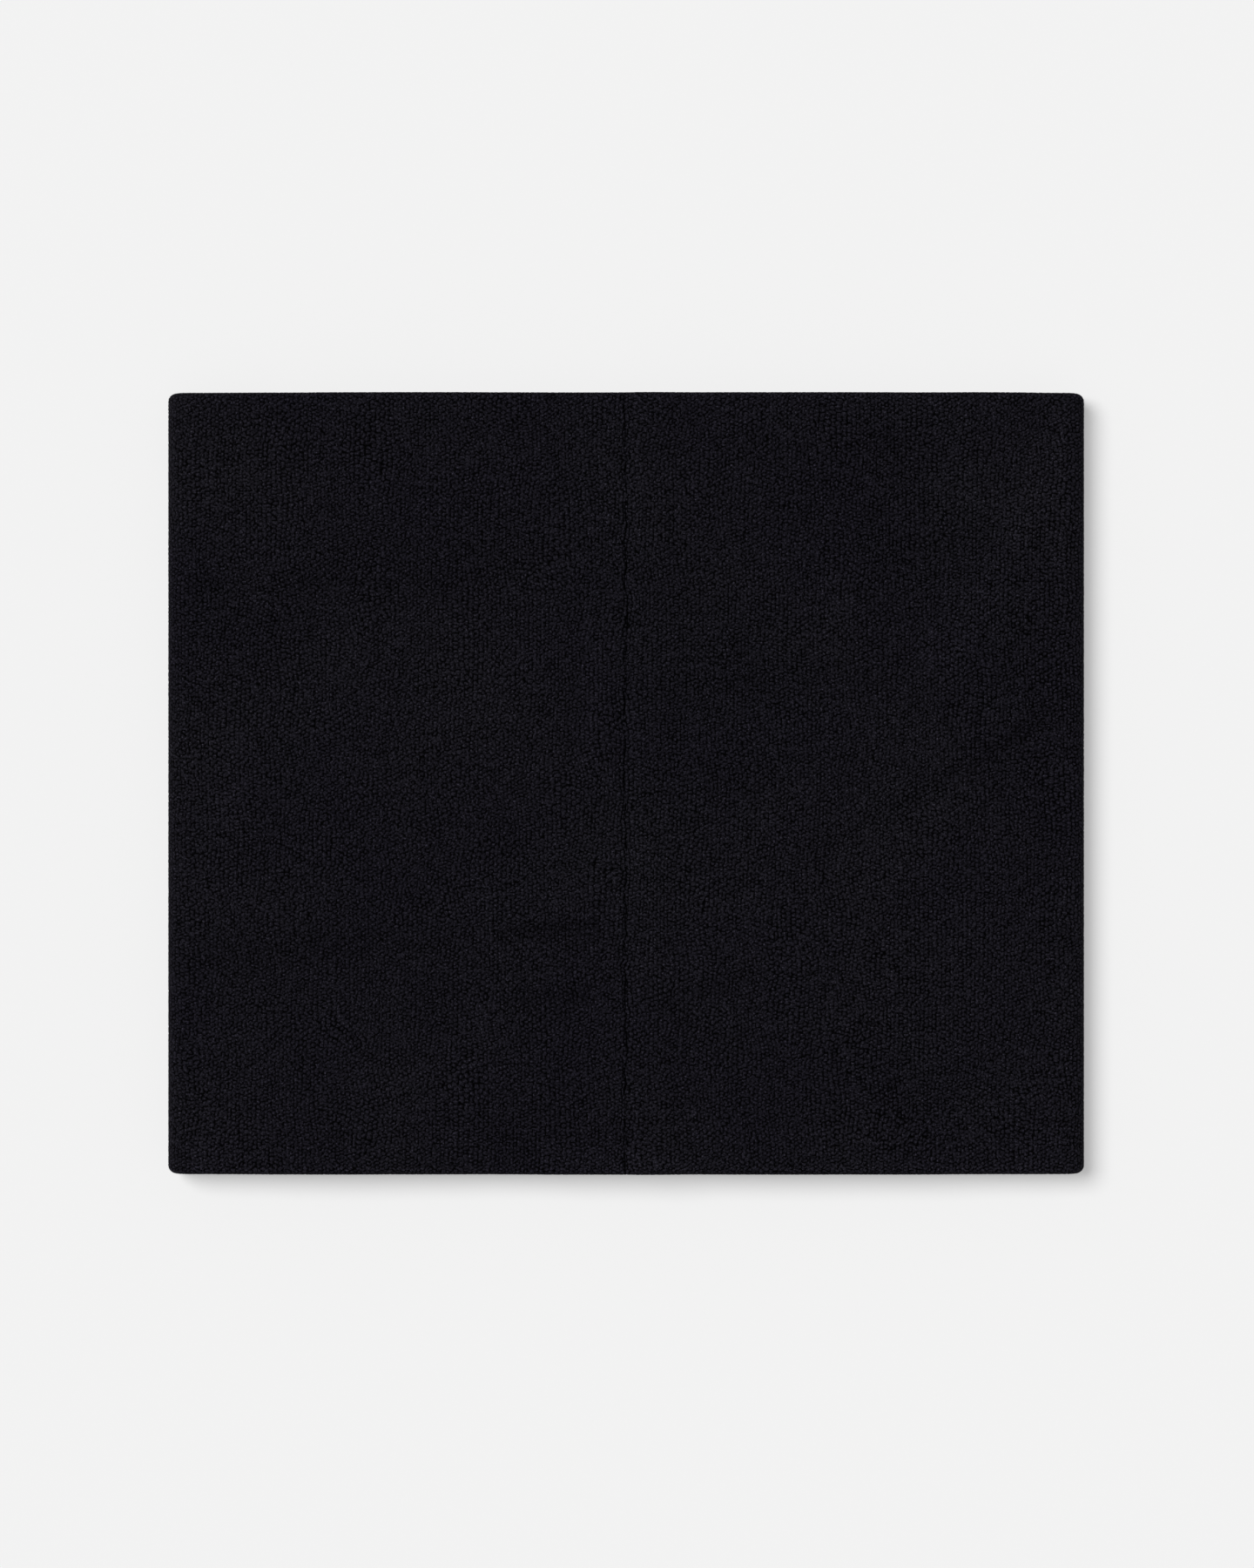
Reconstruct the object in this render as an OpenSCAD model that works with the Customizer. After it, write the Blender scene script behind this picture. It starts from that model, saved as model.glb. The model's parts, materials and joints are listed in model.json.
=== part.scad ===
// Neck gaiter: a tube of curly pile fleece with a smooth fleece lining, laid flat on its back.
// +X is to the right, +Y runs from the bottom rim to the top rim and +Z is up.
// Origin: the middle of the face that it rests on. Millimetres.
//
// Each layer is one panel, closed into a tube by a seam down the middle of the front, and the
// shell is rolled over both rims to meet the lining. The two layers are cut here into strips
// along the tube, so that the flat tube can open round. A strip keeps its shape, and turns
// against the next one about a line parallel to the tube: on the lining's inner face between
// flat strips, and on the shell's outer face at the folds.

/* [Flat size] */
// Width of the gaiter laid flat, fold to fold
flat_w = 280; // [240:1:320]
// Height of the gaiter, rim to rim
flat_h = 239; // [190:1:320]

/* [Cloth] */
// Thickness of the outer shell, backing and pile together
shell_t = 3.6; // [2.8:0.1:4.6]
// Thickness of the smooth fleece lining
lining_t = 1.4; // [1.2:0.1:2]
// Space between the front and back linings when the tube lies flat
sleeve_gap = 3; // [2.6:0.1:5]

/* [Seams and rims] */
// Width of the crease that a seam leaves between its two edges
crease_w = 0.5; // [0.5:0.05:0.8]
// Width of the edge that is turned back behind the panel along each side of a seam
seam_allowance = 8; // [5:1:12]
// How far the shell is rolled over each rim to meet the lining
rim_turn = 7; // [7:0.5:10]

/* [Thread] */
// Thickness of the sewing thread
thread_t = 0.4; // [0.2:0.05:0.4]
// Length of one stitch, from needle hole to needle hole
stitch_l = 3; // [2.5:0.25:4]
// Length of the hand-closed part of the lining seam, through which the tube was turned
turning_gap_l = 60; // [40:5:60]

/* [Care label] */
// Width of the label tape, measured along the seam
label_w = 32; // [20:1:40]
// How far the folded label hangs out of the seam
label_l = 20; // [15:1:20]
// Thickness of the label tape
label_t = 0.2; // [0.1:0.05:0.2]
// Height of the label's lower edge above the bottom rim
label_up = 40; // [20:1:55]

/* [Hidden] */
$fn = 64;

SIDES = ["left", "right"];
STRIPS = ["back_mid", "back_side", "fold", "front_side", "front_mid", "front_seam"];

pile_colour = [0.075, 0.07, 0.09];
lining_colour = [0.055, 0.05, 0.065];
thread_colour = [0.03, 0.03, 0.035];
label_colour = [0.16, 0.16, 0.17];

// Distances out from the mid plane of the flat tube, which are radii in the folds.
lining_in = sleeve_gap / 2;
lining_out = lining_in + lining_t;
shell_out = lining_out + shell_t;
cloth_t = shell_out - lining_in;
mid_z = shell_out;

// Places across the tube: the centre of each fold's bend, and the hinges between flat strips.
fold_x = flat_w / 2 - shell_out;
flat_strips = 5;
strip_w = 2 * fold_x / flat_strips;
inner_hinge_x = strip_w / 2;
outer_hinge_x = strip_w * 3 / 2;
corner_angle = 45;

// Clearances that keep parts from rubbing.
hinge_gap = 0.05;
hinge_gap_angle = 0.4;
label_clearance = 0.1;

lining_h = flat_h - 2 * (rim_turn + crease_w);
rim_thread_y = lining_h / 2 + crease_w / 2;
slit_t = 0.2;
flap_share = 0.35;
stitch_rise = 0.3;
overlap = 0.01;

// A flat strip of the front between two places across it. The section that it sweeps is drawn
// as distance out from the mid plane by height up the tube.
module flat(x_from, x_to) {
    translate([x_to, 0, mid_z])
        rotate([0, -90, 0])
            linear_extrude(x_to - x_from)
                children();
}

// A stretch of the right-hand fold between two angles above the mid plane.
module bend(angle_from, angle_to) {
    translate([fold_x, 0, mid_z])
        rotate([-90, 0, 0])
            rotate([0, 0, -angle_to])
                rotate_extrude(angle = angle_to - angle_from)
                    children();
}

// The back is the front, mirrored in the mid plane.
module on_back() {
    translate([0, 0, 2 * mid_z])
        mirror([0, 0, 1])
            children();
}

// Sweeps a section along one strip of the right-hand half.
module along(strip) {
    gap = hinge_gap / 2;
    gap_angle = hinge_gap_angle / 2;
    if (strip == "back_mid")
        on_back() along("front_mid") children();
    if (strip == "back_side")
        on_back() along("front_side") children();
    if (strip == "fold")
        bend(-corner_angle + gap_angle, corner_angle - gap_angle) children();
    if (strip == "front_side") {
        flat(outer_hinge_x + gap, fold_x) children();
        bend(corner_angle + gap_angle, 90) children();
    }
    if (strip == "front_mid")
        flat(inner_hinge_x + gap, outer_hinge_x - gap) children();
    if (strip == "front_seam")
        flat(crease_w / 2, inner_hinge_x - gap) children();
    if (strip == "back_centre")
        on_back() flat(-inner_hinge_x + gap, inner_hinge_x - gap) children();
}

// The shell's section: the sheet, and a half-round roll at each rim that reaches the lining.
module shell_section() {
    translate([lining_out, -flat_h / 2 + rim_turn])
        square([shell_t, flat_h - 2 * rim_turn]);
    for (end = [-1, 1])
        translate([lining_in + cloth_t / 2, end * (flat_h / 2 - cloth_t / 2)]) {
            circle(cloth_t / 2);
            translate([-cloth_t / 2, end > 0 ? cloth_t / 2 - rim_turn : 0])
                square([cloth_t, rim_turn - cloth_t / 2]);
        }
}

module lining_section() {
    translate([lining_in, -lining_h / 2])
        square([lining_t, lining_h]);
}

// The slit under a seam's turned-back edge, which lies against the other layer. The edge stays
// joined to its panel at the seam.
module turned_edge_slit(layer_t, face, inwards, height) {
    flap_t = layer_t * flap_share;
    slit_at = face + inwards * flap_t;
    flat(crease_w / 2 + flap_t, crease_w / 2 + seam_allowance)
        translate([slit_at + (inwards < 0 ? -slit_t : 0), -height / 2])
            square([slit_t, height]);
    flat(crease_w / 2 + seam_allowance - overlap, crease_w / 2 + seam_allowance + slit_t)
        translate([min(slit_at + inwards * slit_t, face - inwards * overlap), -height / 2])
            square([flap_t + slit_t + overlap, height]);
}

// A line of stitches as a flat zigzag along Y, centred on the origin and `rise` tall each way.
module zigzag(length, rise) {
    stitches = 2 * floor(length / stitch_l / 2);
    path = [for (i = [0 : stitches])
        [i % 2 == 0 ? -rise : rise, (i - stitches / 2) * stitch_l]];
    polygon(concat(
        [for (p = path) p - [thread_t / 2, 0]],
        [for (i = [stitches : -1 : 0]) path[i] + [thread_t / 2, 0]]
    ));
}

// One strip of the curly pile shell.
module shell(strip) {
    color(pile_colour)
        difference() {
            along(strip) shell_section();
            if (strip == "front_seam")
                turned_edge_slit(shell_t, lining_out, 1, lining_h);
        }
}

// One strip of the smooth lining.
module lining(strip) {
    color(lining_colour)
        difference() {
            along(strip) lining_section();
            if (strip == "front_seam")
                turned_edge_slit(lining_t, lining_out, -1, lining_h + 2 * overlap);
        }
}

// The thread that joins shell to lining inside each rim, where it crosses one strip.
module rim_thread(strip) {
    color(thread_colour)
        along(strip)
            for (end = [-1, 1])
                translate([lining_in + lining_t / 2, end * rim_thread_y])
                    circle(thread_t / 2);
}

// The thread down the middle of the front, at the bottom of the shell's crease.
module shell_seam_thread() {
    color(thread_colour)
        flat(-thread_t / 2, thread_t / 2)
            translate([lining_out + shell_t / 3, 0])
                zigzag(lining_h, stitch_rise);
}

// The thread of the lining's seam, right behind the shell's.
module lining_seam_thread() {
    color(thread_colour)
        flat(-thread_t / 2, thread_t / 2)
            translate([lining_out - thread_t / 2 - stitch_rise / 2, 0])
                zigzag(lining_h, stitch_rise / 2);
}

// The hand stitches that close the turning gap, on the inner face of the lining's seam.
module turning_gap_thread() {
    label_top_y = -flat_h / 2 + label_up + label_w;
    middle_y = label_top_y + seam_allowance + turning_gap_l / 2;
    color(thread_colour)
        translate([0, middle_y, mid_z + lining_in - hinge_gap - thread_t])
            linear_extrude(thread_t)
                zigzag(turning_gap_l, 2 * thread_t);
}

// The blank care label: a tape folded double, with both ends caught in the lining's seam.
module care_label() {
    stem_t = 2 * label_t;
    loop_t = 3 * label_t;
    loop_z = lining_in - label_clearance - loop_t;
    color(label_colour)
        translate([0, -flat_h / 2 + label_up, mid_z])
            rotate([90, 0, 180])
                mirror([1, 0, 0])
                    linear_extrude(label_w) {
                        translate([-stem_t / 2, loop_z])
                            square([stem_t, lining_in + lining_t / 3 - loop_z]);
                        difference() {
                            union() {
                                translate([0, loop_z])
                                    square([label_l - loop_t / 2, loop_t]);
                                translate([label_l - loop_t / 2, loop_z + loop_t / 2])
                                    circle(loop_t / 2);
                            }
                            translate([stem_t / 2, loop_z + label_t])
                                square([label_l - stem_t / 2 - loop_t / 2, label_t]);
                            translate([label_l - loop_t / 2, loop_z + loop_t / 2])
                                circle(label_t / 2);
                        }
                    }
}

// Draws a right-hand piece on the side that is named.
module on(side) {
    mirror([side == "left" ? 1 : 0, 0, 0]) children();
}

shell("back_centre");  // shell_back_centre
lining("back_centre");  // lining_back_centre
rim_thread("back_centre");  // rim_thread_back_centre
for (side = SIDES, strip = STRIPS) {
    name = str(strip, "_", side);
    on(side) shell(strip);
    on(side) lining(strip);
    on(side) rim_thread(strip);
}
shell_seam_thread();
lining_seam_thread();
turning_gap_thread();
care_label();
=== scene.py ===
"""Looks of a pile-fleece neck gaiter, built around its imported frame.

Lengths are in metres, +Z is up, and the tube runs along Y."""

import itertools
import json
import math

import bpy
import numpy as np
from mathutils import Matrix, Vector


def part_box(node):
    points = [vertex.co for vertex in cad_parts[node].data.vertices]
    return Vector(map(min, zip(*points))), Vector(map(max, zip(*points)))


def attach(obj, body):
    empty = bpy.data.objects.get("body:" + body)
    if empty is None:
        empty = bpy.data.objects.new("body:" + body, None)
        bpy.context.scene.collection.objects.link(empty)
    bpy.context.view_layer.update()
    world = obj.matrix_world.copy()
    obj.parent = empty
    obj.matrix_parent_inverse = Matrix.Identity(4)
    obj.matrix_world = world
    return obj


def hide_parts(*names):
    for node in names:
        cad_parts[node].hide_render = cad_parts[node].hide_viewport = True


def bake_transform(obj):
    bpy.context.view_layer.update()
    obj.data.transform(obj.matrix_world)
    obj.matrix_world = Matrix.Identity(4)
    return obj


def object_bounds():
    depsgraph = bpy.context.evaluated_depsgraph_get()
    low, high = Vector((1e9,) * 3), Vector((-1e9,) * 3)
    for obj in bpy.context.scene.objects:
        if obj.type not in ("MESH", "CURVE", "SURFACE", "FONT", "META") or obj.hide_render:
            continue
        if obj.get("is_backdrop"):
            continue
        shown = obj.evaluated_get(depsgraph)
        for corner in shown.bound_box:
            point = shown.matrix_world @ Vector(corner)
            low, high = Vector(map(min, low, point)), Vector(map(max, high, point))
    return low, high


MM = 0.001

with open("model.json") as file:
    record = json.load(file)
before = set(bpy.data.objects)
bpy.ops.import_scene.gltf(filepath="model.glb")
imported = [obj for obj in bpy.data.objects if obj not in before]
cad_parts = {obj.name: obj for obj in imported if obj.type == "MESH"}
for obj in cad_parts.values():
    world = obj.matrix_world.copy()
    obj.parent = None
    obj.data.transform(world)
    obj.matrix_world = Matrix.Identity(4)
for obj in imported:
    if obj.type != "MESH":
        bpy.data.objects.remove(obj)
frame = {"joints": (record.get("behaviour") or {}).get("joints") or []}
cad_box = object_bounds()

# ---------------------------------------------------------------- sizes, from the frame

JOINTS = {j["name"]: j for j in frame["joints"]}
LOW, HIGH = (Vector(corner) for corner in cad_box)
FLAT_W = HIGH.x - LOW.x
FLAT_H = HIGH.y - LOW.y
MID_Z = (LOW.z + HIGH.z) / 2
SHELL_OUT = (HIGH.z - LOW.z) / 2
LINING_LOW, LINING_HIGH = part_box("lining_back_centre")
LINING_OUT = MID_Z - LINING_LOW.z
LINING_IN = MID_Z - LINING_HIGH.z
LINING_END = LINING_HIGH.y
CREASE_W = 2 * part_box("shell_front_seam_right")[0].x
ROLL_END = LINING_END + CREASE_W
ROLL_R = (SHELL_OUT - LINING_IN) / 2
FOLD_X = FLAT_W / 2 - SHELL_OUT
INNER_HINGE_X = abs(JOINTS["tube_open"]["pos_m"][0])
OUTER_HINGE_X = abs(JOINTS["back_outer_turn_right"]["pos_m"][0])
STRIP_W = OUTER_HINGE_X - INNER_HINGE_X
SHELL_THREAD_LOW, SHELL_THREAD_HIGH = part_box("shell_seam_thread")
LINING_THREAD_LOW, LINING_THREAD_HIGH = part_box("lining_seam_thread")
GAP_THREAD_LOW, GAP_THREAD_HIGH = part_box("turning_gap_thread")
LABEL_LOW, LABEL_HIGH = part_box("care_label")
THREAD_R = (SHELL_THREAD_HIGH.x - SHELL_THREAD_LOW.x) / 2

# ---------------------------------------------------------------- pile and cloth

SEED = 41
FINE = 0.36 * MM        # grid of the pile on the front and the folds
COARSE = 0.55 * MM      # its spacing across the back
SEAM_FINE = 0.18 * MM                       # its spacing beside the seam
SEAM_FINE_TO = 1.3 * MM                     # how far from the seam that goes
LINING_GRID = 1.2 * MM
END_BAND = 0.02 * MM                        # a hair-thin last band, so that no end face shades the surface
CURL = 1.27 * MM                            # from one curl of the pile to the next
CURL_H = 0.85 * MM                          # depth of the clefts between curls
TOP_SHARE = 0.3                             # share of that which stands above the nominal face
SHELL_CREASE = SHELL_OUT - (SHELL_THREAD_LOW.z + SHELL_THREAD_HIGH.z) / 2 + MID_Z
LINING_CREASE = (LINING_THREAD_LOW.z + LINING_THREAD_HIGH.z) / 2 - MID_Z - LINING_IN

# The pile's pattern. Amounts without MM are in curls, or are shares of the pile's height.
WANDER = ((1.2, 14 * MM, 10), (0.18, 0.85 * MM, 14))   # of the lines of curls: amount, length, seed
ORDER_PATCH = 38 * MM                       # from a patch of columns of curls to a patch of rows
RIM_ROWS, RIM_ROWS_FULL = 9 * MM, 7 * MM    # rows follow a rim from the first to this much nearer
SCATTER = 0.48                              # how far a curl strays from its place
LINE_UP = 0.18                              # how much less across a line of curls, and more along it
NARROW = 0.16                               # how much narrower than long a curl in a line is
UNEVEN = 0.12                               # how much further the biggest curl reaches than the smallest
CLEFT_W, CLEFT_W_MORE = 0.32, 0.14          # width of the narrowest cleft, and what the widest adds
CLEFT_DEEP, CLEFT_DEEP_MORE = 0.65, 0.35    # the same for its depth
CLEFT_FULL = 1.6                            # the depth reaches its most well before the width does
DOME = 0.5                                  # how far a curl falls away from its middle
CURL_LOW, CURL_MORE = 0.92, 0.14            # height of the lowest curl, and what the highest adds
FIBRE_W, FIBRE_H = 0.5 * MM, 0.16           # size and height of the unevenness on each curl


def smooth(t):
    """0 to 1 with flat ends, as t goes from 0 to 1."""
    t = np.clip(t, 0, 1)
    return t * t * (3 - 2 * t)


def hashed(i, j, seed):
    """A repeatable random number from 0 to 1 for each pair of whole numbers."""
    n = i.astype(np.int64) * 374761393 + j.astype(np.int64) * 668265263 + seed * 974634777
    n = (n ^ (n >> 13)) & 0xFFFFFFFF
    n = (n * 1274126177) & 0xFFFFFFFF
    n = (n ^ (n >> 16)) & 0xFFFFFFFF
    return n / 4294967295.0


def value_noise(x, y, seed):
    """Smooth noise from -1 to 1 with features one unit across."""
    i, j = np.floor(x), np.floor(y)
    u, v = smooth(x - i), smooth(y - j)
    low = hashed(i, j, seed) * (1 - u) + hashed(i + 1, j, seed) * u
    high = hashed(i, j + 1, seed) * (1 - u) + hashed(i + 1, j + 1, seed) * u
    return 2 * (low * (1 - v) + high * v) - 1


def ripple(x, y, size, seed):
    """Smooth noise from -1 to 1 with features of a given size."""
    return value_noise(x / size, y / size, SEED + seed)


def curl_distance(x, y, i, j, columns):
    """Distance to the edge of the curl that belongs to cell i, j."""
    stagger = 0.5 * (np.mod(i, 2) - 0.5)
    curl_x = i + 0.5 + (SCATTER - LINE_UP * columns) * (hashed(i, j, SEED) - 0.5)
    curl_y = j + 0.5 + (SCATTER + LINE_UP * columns) * (hashed(i, j, SEED + 1) - 0.5) + stagger
    distance = np.hypot((x - curl_x) * (1 + NARROW * columns), (y - curl_y) * (1 - NARROW * columns))
    return distance - UNEVEN * hashed(i, j, SEED + 3)


def curl_field(x, y, columns):
    """Distances to the nearest and second nearest curl, its tone, and how open the cleft between them is.

    Where columns is 1 the curls line up in columns, and where it is -1 in rows."""
    first = np.full(x.shape, np.inf)
    second = np.full(x.shape, np.inf)
    cell = [np.zeros(x.shape), np.zeros(x.shape)]
    rival = [np.zeros(x.shape), np.zeros(x.shape)]
    for di, dj in itertools.product((-1, 0, 1), repeat=2):
        i, j = np.floor(x) + di, np.floor(y) + dj
        distance = curl_distance(x, y, i, j, columns)
        nearest = distance < first
        near = ~nearest & (distance < second)
        for axis, place in enumerate((i, j)):
            rival[axis] = np.where(nearest, cell[axis], np.where(near, place, rival[axis]))
            cell[axis] = np.where(nearest, place, cell[axis])
        second = np.where(nearest, first, np.minimum(second, distance))
        first = np.where(nearest, distance, first)
    tone = hashed(*cell, SEED + 4)
    gap = hashed(cell[0] + rival[0], cell[1] + rival[1], SEED + 5)
    return first, second, tone, gap


def pile(q, v):
    """Height of the pile from 0, the bottom of a cleft, to about 1, and each curl's tone."""
    warp_x = sum(amount * ripple(q, v, size, seed) for amount, size, seed in WANDER)
    warp_y = sum(amount * ripple(q, v, size, seed + 1) for amount, size, seed in WANDER)
    at_rim = smooth((np.abs(v) - FLAT_H / 2 + RIM_ROWS) / RIM_ROWS_FULL)
    columns = ripple(q, v, ORDER_PATCH, 12) * (1 - at_rim) - at_rim
    first, second, tone, gap = curl_field(q / CURL + warp_x, v / CURL + warp_y, columns)
    cleft = smooth((second - first) / (CLEFT_W + CLEFT_W_MORE * gap))
    cleft = 1 - (1 - cleft) * (CLEFT_DEEP + CLEFT_DEEP_MORE * smooth(CLEFT_FULL * gap))
    dome = 1 - DOME * np.clip(first, 0, 1) ** 2
    fibres = FIBRE_H * ripple(q, v, FIBRE_W, 13)
    return cleft * dome * (CURL_LOW + CURL_MORE * tone) + fibres * cleft, tone


# ---------------------------------------------------------------- how the front settles on the back

SETTLE_GRID = 5 * MM
SETTLE_SCALE = 10.0                     # the cloth solver is steadier on a bigger sheet
SETTLE_FRAMES = 50
SETTLE_FROM = 1.2 * MM                  # height above the bed that the front falls from
SETTLE_GAP = 0.003                      # the solver's least distance, at its own scale
SLACK = 0.0007                          # how much longer the front is than the space it lies in
CLOTH = {
    "quality": 8,
    "mass": 0.3,
    "tension_stiffness": 80,
    "compression_stiffness": 80,
    "shear_stiffness": 40,
    "bending_stiffness": 120,
    "bending_damping": 20,
    "air_damping": 6,
    "shrink_min": -SLACK,
}
BED_RELIEF = 2.0 * MM                   # how uneven the cloth under the front is
ALLOWANCE_W = 8 * MM                    # width of the seam's turned-back edges
ALLOWANCE_LIFT = 0.9 * MM               # how far they lift the front
SOFTENING = 6                           # how often the solver's small jitter is evened out
MOST_DRAPE = 2.6 * MM                   # how far the settled front may rise or fall
DRAPE_EDGE = 12 * MM                    # over which it dies away towards a fold


def grid_mesh(name, columns, rows, height):
    """A sheet the size of the front, at the solver's scale. height(x, y) works in real metres."""
    x, y = np.meshgrid(
        np.linspace(-FOLD_X, FOLD_X, columns),
        np.linspace(-FLAT_H / 2, FLAT_H / 2, rows),
        indexing="ij",
    )
    points = np.stack([x, y, height(x, y)], -1).reshape(-1, 3) * SETTLE_SCALE
    corner = (np.arange(columns - 1)[:, None] * rows + np.arange(rows - 1)[None, :]).ravel()
    faces = np.stack([corner, corner + rows, corner + rows + 1, corner + 1], 1)
    mesh = bpy.data.meshes.new(name)
    mesh.from_pydata(points.tolist(), [], faces.tolist())
    obj = bpy.data.objects.new(name, mesh)
    bpy.context.scene.collection.objects.link(obj)
    return obj


def bed_height(x, y):
    """The uneven back layer, on which the front comes to rest."""
    uneven = value_noise(x / (58 * MM) + 0.5 * y / (80 * MM), y / (70 * MM), SEED + 20)
    uneven = 0.7 * uneven + 0.3 * value_noise(x / (30 * MM), y / (42 * MM) + 0.3, SEED + 21)
    inside = smooth((FOLD_X - np.abs(x)) / (25 * MM))
    return 0.5 * BED_RELIEF * uneven * inside


def make_bed(bed):
    bed.modifiers.new("collision", "COLLISION")
    bed.collision.thickness_outer = SETTLE_GAP
    bed.collision.cloth_friction = 8
    bed.collision.damping = 0.8


def make_cloth(sheet):
    cloth = sheet.modifiers.new("cloth", "CLOTH")
    for key, value in CLOTH.items():
        setattr(cloth.settings, key, value)
    cloth.settings.vertex_group_mass = "held"
    cloth.collision_settings.distance_min = SETTLE_GAP
    cloth.point_cache.frame_end = SETTLE_FRAMES


def heights(sheet):
    """The height of every point of a simulated sheet, at the solver's scale."""
    mesh = sheet.evaluated_get(bpy.context.evaluated_depsgraph_get()).to_mesh()
    co = np.zeros(len(mesh.vertices) * 3, np.float32)
    mesh.vertices.foreach_get("co", co)
    return co.reshape(-1, 3)[:, 2].astype(float)


def settle(columns, rows):
    """Lets the front fall as cloth on the bed, held along both folds. Gives its height as a grid."""
    sheet = grid_mesh("settling", columns, rows, lambda x, y: bed_height(x, y) + SETTLE_FROM)
    held = sheet.vertex_groups.new(name="held")
    held.add(list(range(rows)) + list(range((columns - 1) * rows, columns * rows)), 1.0, "REPLACE")
    bed = grid_mesh("bed", columns, rows, bed_height)
    make_bed(bed)
    make_cloth(sheet)
    scene = bpy.context.scene
    for step in range(1, SETTLE_FRAMES + 1):
        scene.frame_set(step)
    height = heights(sheet).reshape(columns, rows) / SETTLE_SCALE
    scene.frame_set(1)
    for made in (sheet, bed):
        mesh = made.data
        bpy.data.objects.remove(made)
        bpy.data.meshes.remove(mesh)
    return height


def settled_drape():
    """How far the settled front rises over its two held edges, kept within MOST_DRAPE."""
    columns = round(2 * FOLD_X / SETTLE_GRID) + 1
    rows = round(FLAT_H / SETTLE_GRID) + 1
    height = settle(columns, rows)
    for _ in range(SOFTENING):
        edged = np.pad(height, 1, mode="edge")
        beside = edged[2:, 1:-1] + edged[:-2, 1:-1] + edged[1:-1, 2:] + edged[1:-1, :-2]
        height = (height + beside / 4) / 2
    return MOST_DRAPE * np.tanh((height - height[[0, -1]].mean()) / MOST_DRAPE)


DRAPE = settled_drape()
CREASE_DROP = 0.9 * MM                  # depth of a crease whose strength is 1
# Soft creases and ridges left from packing. Each has its start and end, as shares of half the width and
# height, its half width, and its strength at the start and at the end. A ridge's strength is below 0.
CREASES = (
    ((-1.0, 0.50), (-0.40, 0.50), 3.5 * MM, 0.9, 0.9),
    ((-0.40, 0.50), (-0.03, 0.61), 3.0 * MM, 0.6, 0.4),
    ((1.0, 0.21), (0.40, -0.20), 3.5 * MM, 1.6, 0.5),
    ((-0.26, -0.39), (-0.06, -0.37), 3.0 * MM, 1.6, 1.8),
    ((-0.21, -0.55), (-0.08, -0.54), 3.0 * MM, 1.3, 1.6),
    ((0.11, -0.56), (0.28, -0.50), 4.0 * MM, 1.1, 0.9),
    ((-1.0, -0.46), (-0.35, -0.40), 6.0 * MM, 1.1, 0.6),
    ((0.58, 0.57), (0.78, 0.65), 6.0 * MM, 0.7, 0.7),
    ((0.24, 0.25), (0.64, 0.25), 5.0 * MM, 0.5, 0.5),
    ((0.28, 0.85), (0.58, 0.85), 5.0 * MM, 0.5, 0.5),
    ((0.98, 0.90), (0.71, 0.31), 7.0 * MM, -1.6, -0.9),
    ((-0.97, -0.97), (-0.86, -0.90), 7.0 * MM, -1.0, -0.4),
    ((-0.16, -0.97), (0.12, -0.97), 4.0 * MM, -0.6, -1.0),
    ((-0.08, 0.05), (-0.05, 0.32), 3.0 * MM, -0.8, -0.5),
    ((-0.85, -0.10), (-0.82, 0.12), 6.0 * MM, -0.7, -0.5),
    ((0.90, -0.95), (1.0, -0.85), 7.0 * MM, -0.6, -1.0),
    ((-0.90, -0.972), (-0.10, -0.978), 0.9 * MM, 0.4, 0.8),
)


def creased(x, y):
    """How deep in a crease each place on the front is: above 0 in a crease, below 0 on a ridge."""
    total = np.zeros(np.broadcast(x, y).shape)
    half = np.array([FLAT_W, FLAT_H]) / 2
    for start, end, width, start_strength, end_strength in CREASES:
        (from_x, from_y), (to_x, to_y) = start * half, end * half
        run_x, run_y = to_x - from_x, to_y - from_y
        along = ((x - from_x) * run_x + (y - from_y) * run_y) / (run_x ** 2 + run_y ** 2)
        along = np.clip(along, 0, 1)
        distance = np.hypot(x - from_x - along * run_x, y - from_y - along * run_y)
        strength = start_strength + (end_strength - start_strength) * along
        total = total + strength * np.exp(-((distance / width) ** 2))
    return total


def beside_seam(x):
    """How far the seam's edges, which are turned to the right, lift the front."""
    rise = smooth(x / (0.6 * ALLOWANCE_W))
    fall = smooth((2.5 * ALLOWANCE_W - x) / (1.5 * ALLOWANCE_W))
    return ALLOWANCE_LIFT * rise * fall


def drape(x, y):
    """How far the flat tube's front rises and falls where it lies at x, y."""
    columns, rows = DRAPE.shape
    i = np.clip((x / FOLD_X + 1) / 2, 0, 1) * (columns - 1)
    j = np.clip(y / FLAT_H + 0.5, 0, 1) * (rows - 1)
    ci = np.minimum(np.floor(i), columns - 2).astype(int)
    cj = np.minimum(np.floor(j), rows - 2).astype(int)
    u, v = smooth(i - ci), smooth(j - cj)
    low = DRAPE[ci, cj] * (1 - u) + DRAPE[ci + 1, cj] * u
    high = DRAPE[ci, cj + 1] * (1 - u) + DRAPE[ci + 1, cj + 1] * u
    edge = smooth((FOLD_X - np.abs(x)) / DRAPE_EDGE)
    return (low * (1 - v) + high * v + beside_seam(x) - CREASE_DROP * creased(x, y)) * edge


# ---------------------------------------------------------------- where the cloth lies

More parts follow.
